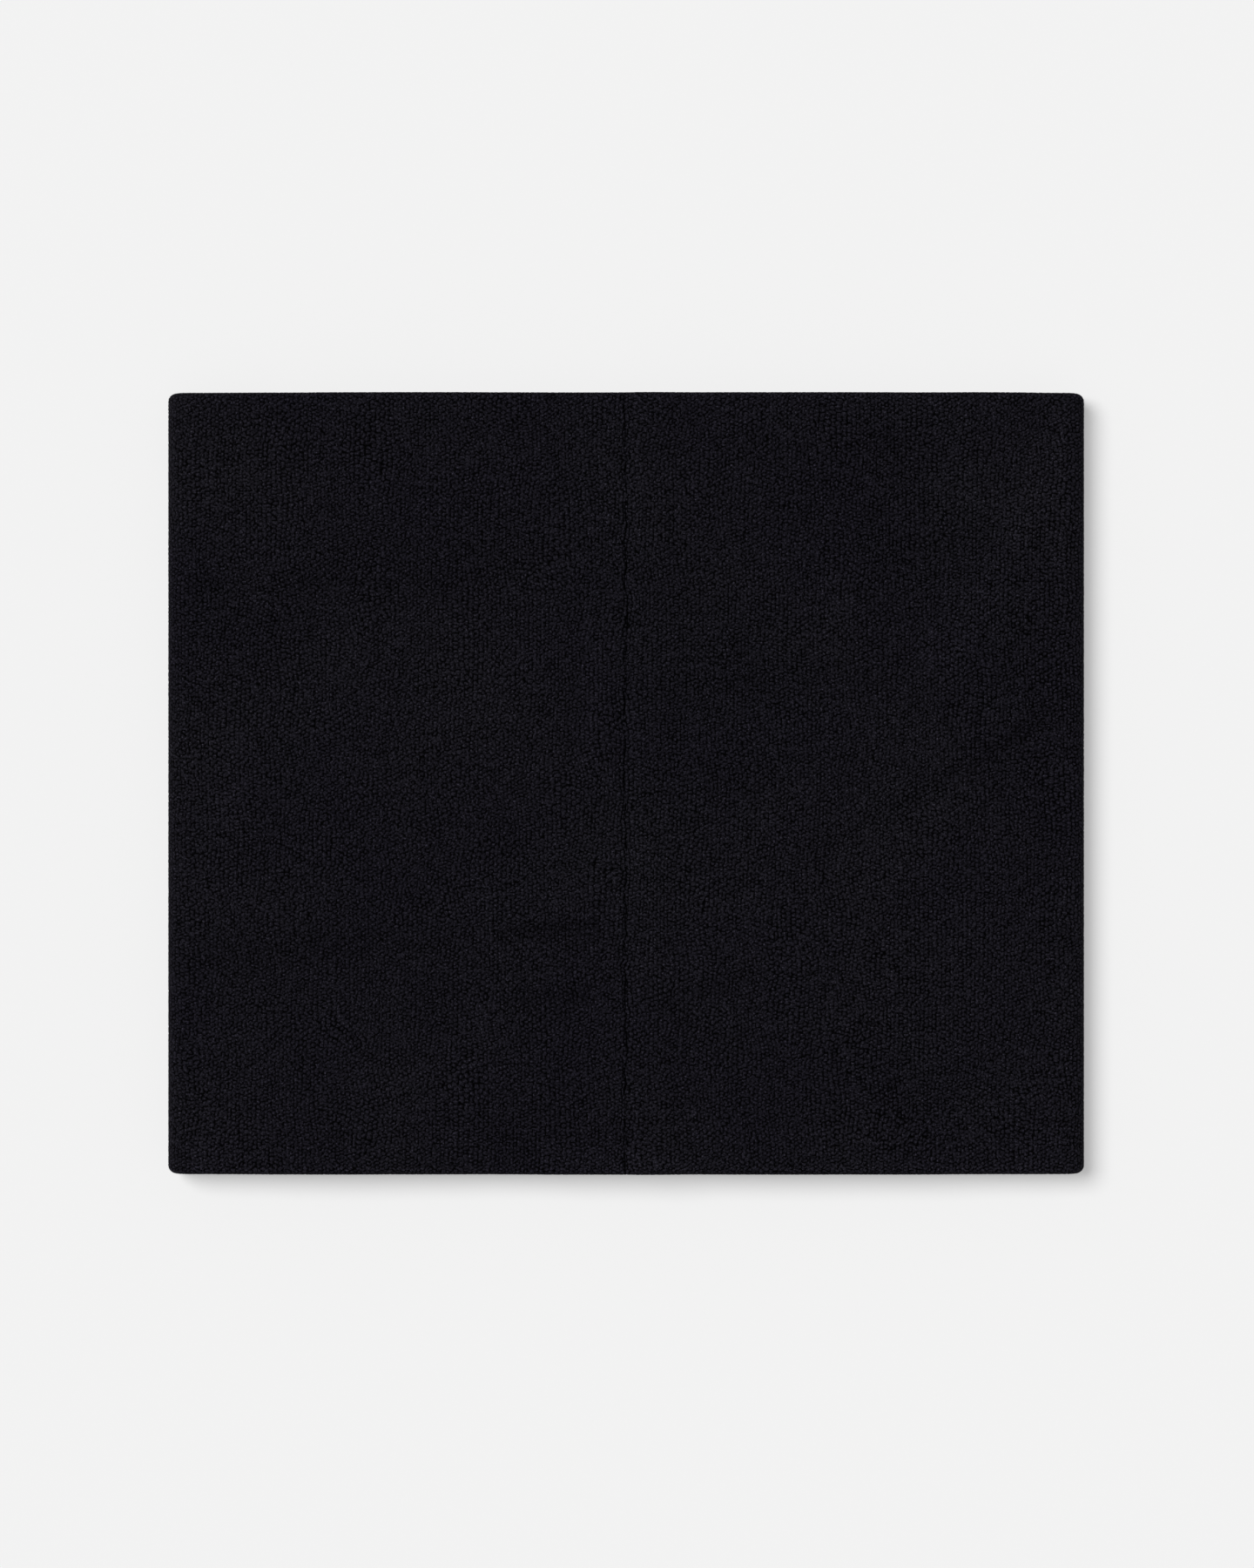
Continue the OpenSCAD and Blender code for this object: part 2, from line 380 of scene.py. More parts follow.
RIM_DRAW = 0.4 * MM                     # how far the seam inside each rim draws it in
SWAY = ((0.35 * MM, 24 * MM, 31), (0.4 * MM, 3.5 * MM, 32))   # of the seam: amount, length, seed
SWAY_REACH = 6 * MM                     # how far from the seam the cloth sways with it
SEAM_W = 1.0 * MM                       # half width of the crease at the shell's seam
LINING_SEAM_W = 0.9 * MM
EDGE_SHADE = 0.85                        # painted shade: how dark the pile is made where it turns right away from the front
LAMP_EVEN = 0.22                        # painted shade on the left fold and painted light on the right, taking back what the lamp on the left does to the two folds
CURL_DARK, CURL_VARY = 0.95, 0.06       # tone of the darkest curl, and what the lightest adds
HEM_H, HEM_FADE = 4 * MM, 1.5 * MM      # the lighter band along the bottom rim, and its soft end
HEM_LIGHT = 0.2                         # how much lighter it is
CREASE_SHADE = 0.15                      # painted shade down in a crease, and painted light on a ridge: how strong it is
PILE_FADE = 2.5 * MM                    # from the hidden end of the shell to where its pile is full
NAP_FADE = 1.5 * MM                     # the same for the lining's nap
NAP, NAP_H = 2.6 * MM, 0.12 * MM        # size and height of the unevenness of the nap
NAP_FROM = 1.0 * MM                     # the nap lies flat beside the seam
GAPE, GAPE_MORE = 0.1, 0.6              # how far the shell's seam gapes at its tightest, and what is added
GAPE_LENGTH = 2.4 * MM                  # how soon that changes along the seam
GAPE_TOP = 0.35                         # how much less it gapes near the top rim
GAPE_TOP_FROM, GAPE_TOP_OVER = 0.36 * FLAT_H, 0.1 * FLAT_H


def path(p, radius):
    """The right half's cross-section, from the front seam at p 0 round the fold to the back's middle.

    Gives the x of a base point in the mid plane, and the x and z of the direction out of the tube."""
    bend = math.pi * radius
    angle = math.pi / 2 - np.clip(p - FOLD_X, 0, bend) / radius
    x = np.where(p < FOLD_X, p, np.where(p < FOLD_X + bend, FOLD_X, 2 * FOLD_X + bend - p))
    return x, np.cos(angle), np.sin(angle)


def seam_sway(y):
    """The seam isn't ruler straight: how far it wanders to the side."""
    return sum(amount * ripple(y, 0 * y, size, seed) for amount, size, seed in SWAY)


def placed(side, p, u, y, radius):
    """Points at place p along the path, u out from the mid plane and y up the tube.

    Radius is that of the layer whose length the path measures."""
    x, out_x, out_z = path(p, radius)
    on_front = smooth(out_z)
    sway = seam_sway(y) * smooth(1 - p / SWAY_REACH)
    lift = on_front * drape(side * x, y)
    return np.stack([side * (x + out_x * u) + sway, y + 0 * p, MID_Z + out_z * u + lift], -1)


def shell_section(step):
    """The shell's section up the tube, round both rims.

    Each row has its length v along the cloth, place u outwards and y up, normal, and share of pile."""
    face = FLAT_H / 2 - ROLL_R - RIM_DRAW
    roll = math.pi * ROLL_R
    turn = face - ROLL_END
    total = face + roll + turn
    count = 2 * round(total / step) + 1
    v = np.linspace(-total, total, count)
    angle = np.clip(np.abs(v) - face, 0, roll) / ROLL_R
    end = np.sign(v)
    inside = np.clip(np.abs(v) - face - roll, 0, turn)
    return {
        "v": v,
        "u": LINING_IN + ROLL_R * (1 + np.cos(angle)),
        "y": end * (np.minimum(np.abs(v), face) + ROLL_R * np.sin(angle) - inside),
        "normal_u": np.cos(angle),
        "normal_y": end * np.sin(angle),
        "cover": smooth((total - np.abs(v)) / PILE_FADE),
        "hidden_y": ROLL_END,
    }


def lining_section(step):
    """The lining's section: its inner face, with the outer face hidden against the shell."""
    v = np.linspace(-LINING_END, LINING_END, 2 * round(LINING_END / step) + 1)
    flat = np.ones(len(v))
    return {
        "v": v,
        "u": LINING_IN * flat,
        "y": v.copy(),
        "normal_u": -flat,
        "normal_y": 0 * flat,
        "cover": smooth((LINING_END - np.abs(v)) / NAP_FADE),
        "hidden_y": LINING_END,
    }


def crease(p, y, width, depth):
    """How deep a layer's edge rolls down into its seam."""
    width = width * (1 + 0.3 * ripple(y, 0 * y, 5 * MM, 30))
    inside = np.clip(1 - p / width, 0, 1)
    return depth * (1 - np.sqrt(1 - inside ** 2))


def on_grid(p, section):
    """Every place p crossed with every row of the section."""
    column = np.repeat(p[:, None], len(section["v"]), 1)
    keys = [key for key in section if key != "hidden_y"]
    return column, {key: np.repeat(section[key][None, :], len(p), 0) for key in keys}


def seam_gape(y):
    """How far the shell's seam gapes at each height, as a share. It closes towards the top rim."""
    gape = GAPE + GAPE_MORE * smooth(0.5 + 0.9 * ripple(y, 0 * y, GAPE_LENGTH, 33))
    return gape * (1 - GAPE_TOP * smooth((y - GAPE_TOP_FROM) / GAPE_TOP_OVER))


def shell_tone_and_shade(side, column, row, curl_tone, away):
    """How light the pile is: each curl's own tone, lighter along the bottom rim, with painted shade round
    the edges and down in a crease, painted light on a ridge, and painted shade and light on the two folds
    against the lamp.
    """
    rim_lighter = smooth((-row["v"] - FLAT_H / 2 + HEM_H) / HEM_FADE)
    on_front = np.clip(row["normal_u"], 0, 1) * (column < FOLD_X)
    tone = (CURL_DARK + CURL_VARY * curl_tone) * (1 + HEM_LIGHT * rim_lighter)
    # painted shade where the pile turns away from the front, round the folds and the rims
    tone = tone * (1 - EDGE_SHADE * away ** 12) * (1 - EDGE_SHADE * row["normal_y"] ** 4)
    # painted shade on the left fold and painted light on the right, against the lamp on the left
    tone = tone * (1 + side * LAMP_EVEN * smooth(1.5 * away))
    # painted shade down in each crease and painted light on each ridge
    return tone * (1 - CREASE_SHADE * on_front * creased(side * column, row["y"]))


def shell_surface(side, p, section):
    """Grid of the shell's outer face, one column for each place p, and what the material reads there."""
    column, row = on_grid(p, section)
    height, curl_tone = pile(side * column, row["v"])
    seam = crease(column, row["y"], SEAM_W, SHELL_CREASE)
    roll_in = seam_gape(row["y"]) * seam * np.clip(row["normal_u"], 0, 1)
    _, out_x, _ = path(column, SHELL_OUT)
    away = out_x * row["normal_u"]
    trimmed = 1 - 0.9 * row["normal_y"] ** 2 - 0.8 * away ** 2
    raised = (height - (1 - TOP_SHARE)) * CURL_H * row["cover"] * trimmed
    u = row["u"] + row["normal_u"] * raised - roll_in
    points = placed(side, column, u, row["y"] + row["normal_y"] * raised, SHELL_OUT)
    # lower down the seam's crease, which the material turns into painted shade
    depth = height * (1 - 0.6 * roll_in / SHELL_CREASE)
    tone = shell_tone_and_shade(side, column, row, curl_tone, away)
    return points, depth, tone, np.stack([side * column, row["v"]], -1)


def lining_surface(side, p, section):
    """Grid of the lining's inner face, and what the material reads there."""
    column, row = on_grid(p, section)
    soft = ripple(side * column, row["v"], NAP, 40)
    roll_in = crease(column, row["y"], LINING_SEAM_W, LINING_CREASE)
    clear_of_seam = column > NAP_FROM
    u = row["u"] + NAP_H * soft * row["cover"] * clear_of_seam + roll_in
    points = placed(side, column, u, row["y"], LINING_IN)
    return points, 0.5 + 0.5 * soft, 0.5 + 0 * soft, np.stack([side * column, row["v"]], -1)


def hidden_rows(side, p, section, radius):
    """The two edges of a layer's hidden face, for each column."""
    ends = (section["hidden_y"], -section["hidden_y"])
    return np.stack([placed(side, p, LINING_OUT, np.full(p.shape, y), radius) for y in ends], 1)


# ---------------------------------------------------------------- meshes


def mesh_object(name, points, corners, sizes, flat_faces=0):
    """A linked mesh from vertex positions and faces. The last flat_faces of the faces aren't smooth."""
    mesh = bpy.data.meshes.new(name)
    mesh.vertices.add(len(points))
    mesh.vertices.foreach_set("co", points.astype(np.float32).ravel())
    mesh.loops.add(len(corners))
    mesh.loops.foreach_set("vertex_index", corners.astype(np.int32))
    mesh.polygons.add(len(sizes))
    starts = np.concatenate([[0], np.cumsum(sizes)[:-1]])
    mesh.polygons.foreach_set("loop_start", starts.astype(np.int32))
    mesh.polygons.foreach_set("use_smooth", np.arange(len(sizes)) < len(sizes) - flat_faces)
    mesh.update(calc_edges=True)
    obj = bpy.data.objects.new(name, mesh)
    bpy.context.scene.collection.objects.link(obj)
    return obj


def add_values(obj, label, values):
    """Stores one number, or one place on the cloth, for each vertex, for the material to read."""
    if values.ndim == 1:
        layer = obj.data.attributes.new(label, "FLOAT", "POINT")
        layer.data.foreach_set("value", values.astype(np.float32))
    else:
        layer = obj.data.attributes.new(label, "FLOAT_VECTOR", "POINT")
        vectors = np.concatenate([values, np.zeros((len(values), 1))], 1)
        layer.data.foreach_set("vector", vectors.astype(np.float32).ravel())


def tube_faces(columns, loop):
    """Corners and sizes of the faces of a closed tube: the sides, then a cap at each end."""
    ring = np.arange(loop)
    base = np.arange(columns - 1)[:, None] * loop
    a = (base + ring[None, :]).ravel()
    b = (base + np.roll(ring, -1)[None, :]).ravel()
    sides = np.stack([a, b, b + loop, a + loop], 1).ravel()
    corners = np.concatenate([sides, ring[::-1], (columns - 1) * loop + ring])
    sizes = np.concatenate([np.full(len(a), 4), [loop, loop]])
    return corners, sizes


def flipped(corners, sizes):
    """The same faces, turned inside out."""
    ends = np.cumsum(sizes)
    place = np.arange(len(corners))
    face = np.repeat(np.arange(len(sizes)), sizes)
    return corners[ends[face] - 1 - (place - (ends - sizes)[face])]


def cloth_object(name, facing, surface, hidden):
    """A closed layer of cloth from its visible grid, and two hidden points for each column."""
    grid, depth, tone, cloth = surface
    columns, rows = grid.shape[:2]
    corners, sizes = tube_faces(columns, rows + 2)
    if facing < 0:
        corners = flipped(corners, sizes)
    points = np.concatenate([grid, hidden], 1).reshape(-1, 3)
    obj = mesh_object(name, points, corners, sizes, flat_faces=2)
    padding = ((0, 0), (0, 2))
    add_values(obj, "depth", np.pad(depth, padding).ravel())
    add_values(obj, "tone", np.pad(tone, padding, constant_values=0.5).ravel())
    add_values(obj, "cloth", np.pad(cloth, padding + ((0, 0),), mode="edge").reshape(-1, 2))
    return obj


THREAD_SIDES = 8
STITCH_PITCH = 3 * MM
STITCH_SHARE = 0.8                      # share of the pitch that shows on top of the cloth
# A stitch from end to end: place along it, and its radius as a share of the thread's.
CAPSULE = np.array([
    (0.0, 0.35), (0.04, 0.75), (0.12, 1.0), (0.5, 1.05), (0.88, 1.0), (0.96, 0.75), (1.0, 0.35),
])


def stitch(start, end, up):
    """Rings of points round one stitch, from one needle hole to the next, rounded at both ends."""
    along = (end - start) / np.linalg.norm(end - start)
    across = np.cross(along, up)
    across = across / np.linalg.norm(across)
    lift = np.cross(across, along)
    turn = np.arange(THREAD_SIDES) * 2 * math.pi / THREAD_SIDES
    ring = np.cos(turn)[:, None] * across + np.sin(turn)[:, None] * lift
    spine = start + CAPSULE[:, :1] * (end - start)
    return spine[:, None] + CAPSULE[:, 1:, None] * THREAD_R * ring[None]


def thread_object(name, starts, ends, up):
    """One mesh of many stitches."""
    rings = len(CAPSULE)
    corners, sizes = tube_faces(rings, THREAD_SIDES)
    corners = flipped(corners, sizes)
    points = np.concatenate([stitch(start, end, up).reshape(-1, 3) for start, end in zip(starts, ends)])
    shift = np.arange(len(starts)) * rings * THREAD_SIDES
    all_corners = (corners[None, :] + shift[:, None]).ravel()
    obj = mesh_object(name, points, all_corners, np.tile(sizes, len(starts)))
    along = np.tile(np.repeat(CAPSULE[:, 0], THREAD_SIDES), len(starts))
    around = np.tile(np.arange(THREAD_SIDES) / THREAD_SIDES, len(starts) * rings)
    add_values(obj, "cloth", np.stack([along, around], 1))
    return obj


def ribbon_object(name, front, back):
    """A thin closed sheet between two grids of the same size."""
    columns, rows = front.shape[:2]
    loop = 2 * rows
    points = np.concatenate([front, back[:, ::-1]], 1).reshape(-1, 3)
    sides, _ = tube_faces(columns, loop)
    sides = sides[: (columns - 1) * loop * 4]
    i = np.arange(rows - 1)
    cap = np.stack([i + 1, i, loop - 1 - i, loop - 2 - i], 1)
    caps = np.concatenate([cap.ravel(), (cap[:, ::-1] + (columns - 1) * loop).ravel()])
    corners = np.concatenate([sides, caps])
    sizes = np.full(len(corners) // 4, 4)
    return mesh_object(name, points, corners, sizes, flat_faces=2 * len(cap))


# ---------------------------------------------------------------- materials

NOISE_LOW, NOISE_HIGH = 0.3, 0.7        # nearly all of a noise texture's values lie between these


class Graph:
    """A material's nodes, made one after another."""

    def __init__(self, name):
        self.material = bpy.data.materials.new(name)
        self.material.use_nodes = True
        self.tree = self.material.node_tree
        self.shader = self.tree.nodes["Principled BSDF"]

    def node(self, kind, inputs=(), **settings):
        made = self.tree.nodes.new(kind)
        for key, value in settings.items():
            setattr(made, key, value)
        for socket, value in dict(inputs).items():
            self.feed(made, socket, value)
        return made

    def feed(self, node, socket, value):
        if isinstance(value, bpy.types.NodeSocket):
            self.tree.links.new(value, node.inputs[socket])
        else:
            node.inputs[socket].default_value = value

    def attribute(self, name, output):
        return self.node("ShaderNodeAttribute", attribute_name=name).outputs[output]

    def noise(self, vector, scale, detail=2.0, roughness=0.5):
        inputs = {"Vector": vector, "Scale": scale, "Detail": detail, "Roughness": roughness}
        return self.node("ShaderNodeTexNoise", inputs).outputs["Fac"]

    def math(self, operation, a, b=0.0):
        return self.node("ShaderNodeMath", {0: a, 1: b}, operation=operation).outputs[0]

    def spread(self, value, low, high, to_low, to_high):
        """The value's range from low to high, stretched to another range."""
        inputs = {"Value": value, "From Min": low, "From Max": high, "To Min": to_low, "To Max": to_high}
        return self.node("ShaderNodeMapRange", inputs).outputs["Result"]

    def vary(self, noise, to_low, to_high):
        """A noise, stretched to another range."""
        return self.spread(noise, NOISE_LOW, NOISE_HIGH, to_low, to_high)

    def bump(self, height, strength, distance):
        """Bends the shader's normal by a height."""
        inputs = {"Height": height, "Strength": strength, "Distance": distance}
        self.feed(self.shader, "Normal", self.node("ShaderNodeBump", inputs).outputs["Normal"])

    def shade(self, **inputs):
        """Feeds the shader and gives the material. In a socket's name, _ stands for a space."""
        for socket, value in inputs.items():
            self.feed(self.shader, socket.replace("_", " "), value)
        return self.material

    def mix(self, share, a, b):
        made = self.node("ShaderNodeMix", data_type="RGBA")
        self.feed(made, 0, share)
        self.feed(made, 6, a)
        self.feed(made, 7, b)
        return made.outputs[2]

    def scaled(self, colour, factor):
        colour = colour[:3] if isinstance(colour, tuple) else colour
        made = self.node("ShaderNodeVectorMath", {0: colour, "Scale": factor}, operation="SCALE")
        return made.outputs[0]


def rgb(r, g, b):
    return (r, g, b, 1.0)


def pile_material():
    """Near-black curly pile with a violet cast: painted shade in the clefts, painted highlights on fibre
    tips, matt curls of varied tone, a faint sheen.
    """
    g = Graph("pile_fleece")
    cloth = g.attribute("cloth", "Vector")
    depth = g.attribute("depth", "Fac")
    tone = g.attribute("tone", "Fac")
    patch = g.noise(cloth, scale=18.0, detail=3.0)
    fluff = g.noise(cloth, scale=1900.0, detail=2.0, roughness=0.65)
    tip_highlights = g.noise(cloth, scale=2300.0, detail=1.0)
    fine = g.noise(cloth, scale=2600.0, detail=2.0, roughness=0.65)
    # the tone attribute brings each curl's own tone together with painted shade and light at the folds,
    # rims and creases
    light = g.math("MULTIPLY", tone, g.vary(fluff, 0.0, 2.0))
    # painted highlights: sparse bright specks on the fibre tips
    light = g.math("ADD", light, g.spread(tip_highlights, 0.62, 0.76, 0, 4.0))
    light = g.math("MULTIPLY", light, g.vary(patch, 0.92, 1.1))
    # painted shade: the pile darkens to black towards the bottom of each cleft, and in the seam's crease
    light = g.math("MULTIPLY", light, g.spread(depth, 0.24, 0.95, 0.0, 2.0))
    violet, greyer = rgb(0.0097, 0.0089, 0.0134), rgb(0.0099, 0.0093, 0.0128)
    tint = g.mix(g.spread(patch, 0.35, 0.65, 0, 1), violet, greyer)
    g.bump(fine, strength=0.7, distance=0.35 * MM)
    return g.shade(
        Base_Color=g.scaled(tint, light),
        Roughness=g.vary(fluff, 0.82, 0.98),
        Specular_IOR_Level=0.05,
        Sheen_Weight=0.03,
        Sheen_Roughness=0.45,
        Sheen_Tint=rgb(0.75, 0.72, 0.95),
    )


def lining_material():
    """Brushed knit: fine ribs along the tube under a short nap."""
    g = Graph("lining_fleece")
    cloth = g.attribute("cloth", "Vector")
    nap = g.noise(cloth, scale=1400.0, detail=3.0, roughness=0.6)
    patch = g.noise(cloth, scale=60.0, detail=2.0)
    light = g.math("MULTIPLY", g.vary(nap, 0.7, 1.3), g.vary(patch, 0.85, 1.15))
    ribs = g.node(
        "ShaderNodeTexWave",
        {"Vector": cloth, "Scale": 260.0, "Distortion": 1.2, "Detail": 1.0, "Detail Scale": 3.0},
    )
    height = g.math("ADD", g.math("MULTIPLY", ribs.outputs["Fac"], 0.5), nap)
    g.bump(height, strength=0.5, distance=0.2 * MM)
    return g.shade(
        Base_Color=g.scaled(rgb(0.0105, 0.0098, 0.0125), light),
        Roughness=g.vary(nap, 0.85, 0.97),
        Specular_IOR_Level=0.0,
        Sheen_Weight=0.03,
    )


def thread_material():
    """Dull black sewing thread: plies twisted round each stitch, with painted shade in the grooves between
    them.
    """
    plies, turns = 3, 2.5
    g = Graph("thread")
    spot = g.node("ShaderNodeSeparateXYZ", {0: g.attribute("cloth", "Vector")})
    twist = g.math("ADD", g.math("MULTIPLY", spot.outputs["X"], turns), spot.outputs["Y"])
    ply = g.math("SINE", g.math("MULTIPLY", twist, plies * 2 * math.pi))
    g.bump(ply, strength=0.6, distance=0.08 * MM)
    return g.shade(
        # painted shade: lighter on each ply's crown, darker in the grooves between plies
        Base_Color=g.scaled(rgb(0.012, 0.0115, 0.014), g.spread(ply, -1, 1, 0.6, 1.4)),
        Roughness=g.spread(ply, -1, 1, 0.75, 0.55),
        Specular_IOR_Level=0.25,
    )


def label_material():
    """Blank charcoal satin tape, woven in fine lines each way, with painted shade where the threads dip
    under.
    """
    g = Graph("label_tape")
    cloth = g.attribute("cloth", "Vector")
    weave = []
    for direction in ("X", "Y"):
        inputs = {"Vector": cloth, "Scale": 900.0}
        weave.append(g.node("ShaderNodeTexWave", inputs, bands_direction=direction).outputs["Fac"])
    over = g.math("MULTIPLY", *weave)
    worn = g.noise(cloth, scale=120.0, detail=3.0, roughness=0.6)
    # painted shade: lighter where the threads lie on top, darker where they dip under
    light = g.math("MULTIPLY", g.spread(over, 0, 1, 0.8, 1.15), g.vary(worn, 0.9, 1.1))
    g.bump(over, strength=0.4, distance=0.05 * MM)
    return g.shade(
        Base_Color=g.scaled(rgb(0.03, 0.03, 0.033), light),
        Roughness=g.vary(worn, 0.5, 0.65),
        Specular_IOR_Level=0.3,
    )


# ---------------------------------------------------------------- the pieces, one for each joint

BEND = {"shell": math.pi * SHELL_OUT, "lining": math.pi * LINING_IN}


def spans(layer):
    """Each piece of the right half: what it is called, its two bodies, its stretch of the path."""
    bend = BEND[layer]
    total = 2 * FOLD_X + bend
    return [
        ("front_inner", "front_mid", "front_seam", 0.0, STRIP_W),
        ("front_outer", "front_side", "front_mid", STRIP_W, 2 * STRIP_W),
        ("front_fold", "fold", "front_side", 2 * STRIP_W, FOLD_X + bend / 2),
        ("back_fold", "back_side", "fold", FOLD_X + bend / 2, total - 2 * STRIP_W),
        ("back_outer", "back_mid", "back_side", total - 2 * STRIP_W, total - STRIP_W),
        ("back_inner", "back_centre", "back_mid", total - STRIP_W, total),
    ]


def on_side(name, side):
    """The name of a thing that there is one of on each side."""
    return f"{name}_{'left' if side < 0 else 'right'}"


def body_name(strip, side):
    return strip if strip == "back_centre" else on_side(strip, side)


def bend_between(obj, side, body_a, body_b, layer):
    """The piece's placement goes into its mesh, and it stands for the layer's CAD strip on either side,
    which are hidden.
    """
    a, b = body_name(body_a, side), body_name(body_b, side)
    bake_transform(obj)
    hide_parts(f"{layer}_{a}", f"{layer}_{b}")


def places(layer, label, start, end):
    """Where a piece's columns are along the path. Neighbours share their end columns."""
    if layer == "lining":
        step = LINING_GRID / 2 if label.endswith("fold") else LINING_GRID
    else:
        step = COARSE if label in ("back_inner", "back_outer") else FINE
    even = np.linspace(start, end, max(3, round((end - start) / step) + 1))
    if label == "front_inner":
        close = np.arange(start, SEAM_FINE_TO, SEAM_FINE)
        even = np.concatenate([close, even[even > close[-1] + SEAM_FINE / 2]])
    return np.concatenate([[start, start + END_BAND], even[1:-1], [end - END_BAND, end]])


SURFACES = {"shell": (shell_surface, SHELL_OUT), "lining": (lining_surface, LINING_IN)}


def cloth_pieces(layer, section, material):
    """The twelve pieces of a layer, one for each joint."""
    surface, radius = SURFACES[layer]
    for side in (-1, 1):
        for label, body_a, body_b, start, end in spans(layer):
            p = places(layer, label, start, end)
            facing = -side if layer == "shell" else side
            obj = cloth_object(
                on_side(f"{layer}_{label}", side), facing,
                surface(side, p, section), hidden_rows(side, p, section, radius),
            )
            obj.data.materials.append(material)
            bend_between(obj, side, body_a, body_b, layer)


UP_TUBE = np.array([0.0, 1.0, 0.0])
UP = np.array([0.0, 0.0, 1.0])


def stitch_ends(start, end):
    """Where each stitch of a run starts and ends, with a gap between one and the next."""
    count = round((end - start) / STITCH_PITCH)
    pitch = (end - start) / count
    middle = start + (np.arange(count) + 0.5) * pitch
    return middle - STITCH_SHARE / 2 * pitch, middle + STITCH_SHARE / 2 * pitch


def rim_thread_pieces(material):
    """The stitches that join lining to shell inside each rim, in one piece for each joint."""
    u = LINING_IN + 0.1 * MM
    slant = 0.12 * MM
    for side in (-1, 1):
        for label, body_a, body_b, start, end in spans("lining"):
            p_from, p_to = stitch_ends(start, end)
            starts, ends = [], []
            for rim in (-1, 1):
                y = np.full(p_from.shape, rim * (LINING_END + CREASE_W / 2))
                starts.append(placed(side, p_from, u, y - slant, LINING_IN))
                ends.append(placed(side, p_to, u, y + slant, LINING_IN))
            name = on_side(f"rim_thread_{label}", side)
            obj = thread_object(name, np.concatenate(starts), np.concatenate(ends), UP_TUBE)
            obj.data.materials.append(material)
            bend_between(obj, side, body_a, body_b, "rim_thread")


def seam_piece(obj, node, material):
    """A small part at the front seam that stands for one CAD node and moves with the same body."""
    obj.data.materials.append(material)
    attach(obj, "front_seam_right")
    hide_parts(node)


def seam_thread(node, u, length, material):
    """A row of stitches down the bottom of a seam's crease."""
    y_from, y_to = stitch_ends(-length / 2, length / 2)
    starts = placed(1, 0 * y_from, u, y_from, SHELL_OUT)
    ends = placed(1, 0 * y_to, u, y_to, SHELL_OUT)
    obj = thread_object(node.replace("_thread", "_stitches"), starts, ends, UP)
    seam_piece(obj, node, material)


def turning_gap_stitches(material):
    """Hand stitches that cross the lining's seam from side to side."""
    low, high = GAP_THREAD_LOW, GAP_THREAD_HIGH
    reach = (high.x - low.x) / 2 - THREAD_R
    count = round((high.y - low.y) / STITCH_PITCH)
    y = np.linspace(low.y + THREAD_R, high.y - THREAD_R, count + 1)
    u = LINING_IN - 0.6 * THREAD_R
    spots = placed(1, 0 * y, u, y, LINING_IN)
    spots[:, 0] += np.where(np.arange(count + 1) % 2 == 0, -reach, reach)
    obj = thread_object("turning_gap_stitches", spots[:-1], spots[1:], UP)
    seam_piece(obj, "turning_gap_thread", material)


LABEL_STEPS, LABEL_BEND_STEPS, LABEL_ROWS = 24, 9, 33
LABEL_SAG = 0.7 * MM                    # how far the label's free end hangs, on average
LABEL_WAVE = 0.25 * MM                  # and how much that differs from side to side


def label_line():
    """The folded tape seen end on: the x and z of its middle, and its thickness.

    It runs down one side of the stem in the seam, out, back under itself and up the other side."""
    tape = -LABEL_LOW.x
    top = LABEL_HIGH.z
    upper = LABEL_LOW.z + 2.5 * tape
    lower = LABEL_LOW.z + 0.5 * tape
    fold_x = LABEL_HIGH.x - 1.5 * tape
    turn = np.linspace(math.pi / 2, -math.pi / 2, LABEL_BEND_STEPS)[1:-1]
    out = np.linspace(tape, fold_x, LABEL_STEPS)
    x = np.concatenate([
        [0.5 * tape, 0.5 * tape, 0.6 * tape], out,
        fold_x + tape * np.cos(turn), out[::-1],
        [-0.3 * tape, -0.5 * tape, -0.5 * tape],
    ])
    z = np.concatenate([
        [top, upper + tape, upper + 0.3 * tape], upper + 0 * out,
        (upper + lower) / 2 + tape * np.sin(turn), lower + 0 * out,
        [lower + 0.3 * tape, lower + tape, top],
    ])
    return x, z, tape


def care_label(material):
    """The blank label: a tape folded double that hangs a little free of the lining."""
    x, z, tape = label_line()
    y = np.linspace(LABEL_LOW.y, LABEL_HIGH.y, LABEL_ROWS)
    big_x, big_y = np.meshgrid(x, y, indexing="ij")
    share = np.clip(big_x / LABEL_HIGH.x, 0, 1)
    across = (big_y - LABEL_LOW.y) / (LABEL_HIGH.y - LABEL_LOW.y)
    sag = share ** 2 * (LABEL_SAG + LABEL_WAVE * np.cos(2 * math.pi * across))
    big_z = z[:, None] - sag + drape(np.zeros(LABEL_ROWS), y).mean()
    normal_x, normal_z = -np.gradient(z), np.gradient(x)
    length = np.hypot(normal_x, normal_z)
    normal = np.stack([normal_x / length, 0 * length, normal_z / length], -1)[:, None]
    middle = np.stack([big_x, big_y, big_z], -1)
    half = 0.42 * tape
    obj = ribbon_object("care_label_tape", middle - half * normal, middle + half * normal)
    run = np.repeat(np.cumsum(length)[:, None], 2 * LABEL_ROWS, 1)
    spot = np.stack([run, np.concatenate([big_y, big_y[:, ::-1]], 1)], -1)
    add_values(obj, "cloth", spot.reshape(-1, 2))
    seam_piece(obj, "care_label", material)


# ---------------------------------------------------------------- floor, light and camera

